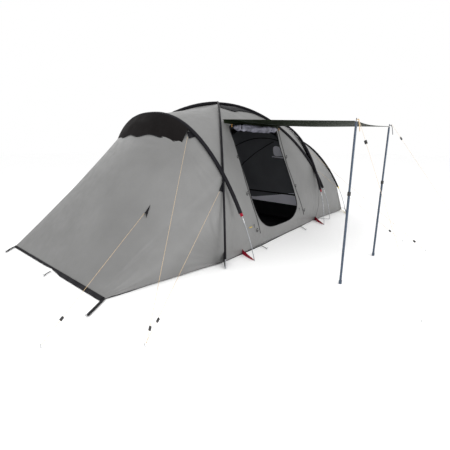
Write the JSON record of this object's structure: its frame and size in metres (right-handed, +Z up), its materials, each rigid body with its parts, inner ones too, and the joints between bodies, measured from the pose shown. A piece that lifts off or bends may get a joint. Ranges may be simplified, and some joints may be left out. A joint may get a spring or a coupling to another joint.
{
  "type": "dome_tent",
  "caption": "Pitched dome tent: crossed long poles, leaning side arches, a sloping wing, an open doorway under a flat canopy on telescoping poles, and taut guylines on pegs.",
  "frame": {"origin": "On the ground under the crossing of the two long poles.", "axes": "+X along the tent to its steep end, +Y away from the door side, +Z up."},
  "size_m": [6.1929, 5.467, 2.1185],
  "materials": {
    "pole_alloy": "satin",
    "steel": "satin",
    "black_cloth": "matte",
    "grey_cloth": "matte",
    "inner_cloth": "matte",
    "floor_cloth": "matte",
    "canopy_cloth": "matte",
    "lilac_cloth": "matte",
    "black_plastic": "matte",
    "blue_steel": "satin",
    "orange_plastic": "gloss",
    "cream_cord": "matte",
    "red_webbing": "matte",
    "grey_webbing": "matte",
    "yellow_webbing": "matte"
  },
  "bodies": {
    "root": {"arch_foot_straps": "red_webbing", "arch_pole_end": "pole_alloy", "arch_pole_left": "pole_alloy", "arch_pole_right": "pole_alloy", "crown_patch": "black_cloth", "door_zips": "black_plastic", "end_foot_straps": "yellow_webbing", "fly_door_wall": "grey_cloth", "fly_end_wall": "grey_cloth", "fly_left_shoulder": "grey_cloth", "fly_left_wing": "grey_cloth", "fly_rear_wall": "grey_cloth", "fly_right_section": "grey_cloth", "fly_right_shoulder": "grey_cloth", "ground_pegs": "steel", "groundsheet": "floor_cloth", "guy_patches": "black_cloth", "guyline_arch_right": "cream_cord", "guyline_canopy_left": "cream_cord", "guyline_canopy_right": "cream_cord", "guyline_hood_front": "cream_cord", "guyline_left_gusset": "cream_cord", "guyline_right_gusset": "cream_cord", "guyline_wing": "cream_cord", "hem_piping": "black_cloth", "inner_tent_left_roof": "inner_cloth", "inner_tent_left_wall": "inner_cloth", "inner_tent_right_roof": "inner_cloth", "inner_tent_right_wall": "inner_cloth", "label_tab": "yellow_webbing", "long_foot_straps": "grey_webbing", "long_pole_front_left": "pole_alloy", "long_pole_front_right": "pole_alloy", "mud_flap": "black_cloth", "pegging_straps": "black_cloth", "pole_ferrules": "steel", "pole_tips": "steel", "rolled_door": "lilac_cloth", "sleeves_arch_poles": "black_cloth", "sleeves_long_poles": "black_cloth", "vent_hood": "black_cloth"},
    "canopy": {"door_canopy": "canopy_cloth", "canopy_grommets": "steel"},
    "pole_left_upper": {"canopy_pole_left_upper": "blue_steel"},
    "pole_left_lower": {"canopy_pole_left_lower": "blue_steel", "canopy_pole_left_clamp": "black_plastic"},
    "pole_right_upper": {"canopy_pole_right_upper": "blue_steel"},
    "pole_right_lower": {"canopy_pole_right_lower": "blue_steel", "canopy_pole_right_clamp": "black_plastic"},
    "runner_hood_front": {"runner_hood_front": "black_plastic"},
    "runner_left_gusset": {"runner_left_gusset": "black_plastic"},
    "runner_wing": {"runner_wing": "black_plastic"},
    "runner_canopy_left": {"runner_canopy_left": "black_plastic"},
    "runner_canopy_right": {"runner_canopy_right": "black_plastic"},
    "runner_right_gusset": {"runner_right_gusset": "black_plastic"},
    "runner_arch_right": {"runner_arch_right": "black_plastic"},
    "slider_left": {"zip_slider_left": "black_plastic"},
    "toggle_left": {"door_toggle_left": "orange_plastic"},
    "slider_right": {"zip_slider_right": "black_plastic"},
    "toggle_right": {"door_toggle_right": "orange_plastic"}
  },
  "joints": [
    {"name": "canopy_lift", "type": "hinge", "parent": "root", "child": "canopy", "pos_m": [-0.68, -0.715, 1.776], "axis": [-0.999, 0.0232, 0.038], "range_deg": [-10, 7]},
    {"name": "canopy_pole_left_swing", "type": "hinge", "parent": "canopy", "child": "pole_left_upper", "pos_m": [-1.1, -2.757, 1.677], "axis": [0.999, -0.0232, -0.038], "range_deg": [-10, 7]},
    {"name": "canopy_pole_left_telescope", "type": "slide", "parent": "pole_left_upper", "child": "pole_left_lower", "axis": [0, 0, -1], "range_m": [-0.37, 0.26]},
    {"name": "canopy_pole_right_swing", "type": "hinge", "parent": "canopy", "child": "pole_right_upper", "pos_m": [0.04, -2.752, 1.655], "axis": [0.999, -0.0232, -0.038], "range_deg": [-10, 7]},
    {"name": "canopy_pole_right_telescope", "type": "slide", "parent": "pole_right_upper", "child": "pole_right_lower", "axis": [0, 0, -1], "range_m": [-0.37, 0.26]},
    {"name": "runner_hood_front_slide", "type": "slide", "parent": "root", "child": "runner_hood_front", "axis": [-0.654, -0.4708, -0.5922], "range_m": [-0.6, 0.01]},
    {"name": "runner_left_gusset_slide", "type": "slide", "parent": "root", "child": "runner_left_gusset", "axis": [-0.8383, -0.3366, -0.429], "range_m": [-0.6, 0.08]},
    {"name": "runner_wing_slide", "type": "slide", "parent": "root", "child": "runner_wing", "axis": [-0.8428, -0.3688, -0.3919], "range_m": [-0.6, 0.17]},
    {"name": "runner_canopy_left_slide", "type": "slide", "parent": "root", "child": "runner_canopy_left", "axis": [-0.1651, -0.4244, -0.8903], "range_m": [-0.15, 0.9]},
    {"name": "runner_canopy_right_slide", "type": "slide", "parent": "root", "child": "runner_canopy_right", "axis": [0.4905, -0.4512, -0.7455], "range_m": [-0.12, 0.9]},
    {"name": "runner_right_gusset_slide", "type": "slide", "parent": "root", "child": "runner_right_gusset", "axis": [-0.2117, -0.85, -0.4823], "range_m": [-0.6, 0.16]},
    {"name": "runner_arch_right_slide", "type": "slide", "parent": "root", "child": "runner_arch_right", "axis": [-0.261, -0.834, -0.4862], "range_m": [-0.6, 0.11]},
    {"name": "zip_slider_left_slide", "type": "slide", "parent": "root", "child": "slider_left", "axis": [0, 0.1917, 0.9815], "range_m": [-0.02, 0.3]},
    {"name": "zip_slider_right_slide", "type": "slide", "parent": "root", "child": "slider_right", "axis": [0, 0.1714, 0.9852], "range_m": [-0.02, 0.3]},
    {"name": "door_toggle_left_turn", "type": "hinge", "parent": "root", "child": "toggle_left", "pos_m": [-0.58, -0.8, 1.694], "axis": [0, 1, 0], "range_deg": [-80, 80]},
    {"name": "door_toggle_right_turn", "type": "hinge", "parent": "root", "child": "toggle_right", "pos_m": [0.66, -0.826, 1.662], "axis": [0, 1, 0], "range_deg": [-80, 80]}
  ],
  "couplings": [
    {"joint": "canopy_pole_left_swing", "follows": "canopy_lift", "ratio": 1},
    {"joint": "canopy_pole_left_telescope", "follows": "canopy_lift", "m_per_rad": 2.042},
    {"joint": "canopy_pole_right_swing", "follows": "canopy_lift", "ratio": 1},
    {"joint": "canopy_pole_right_telescope", "follows": "canopy_lift", "m_per_rad": 2.004}
  ]
}
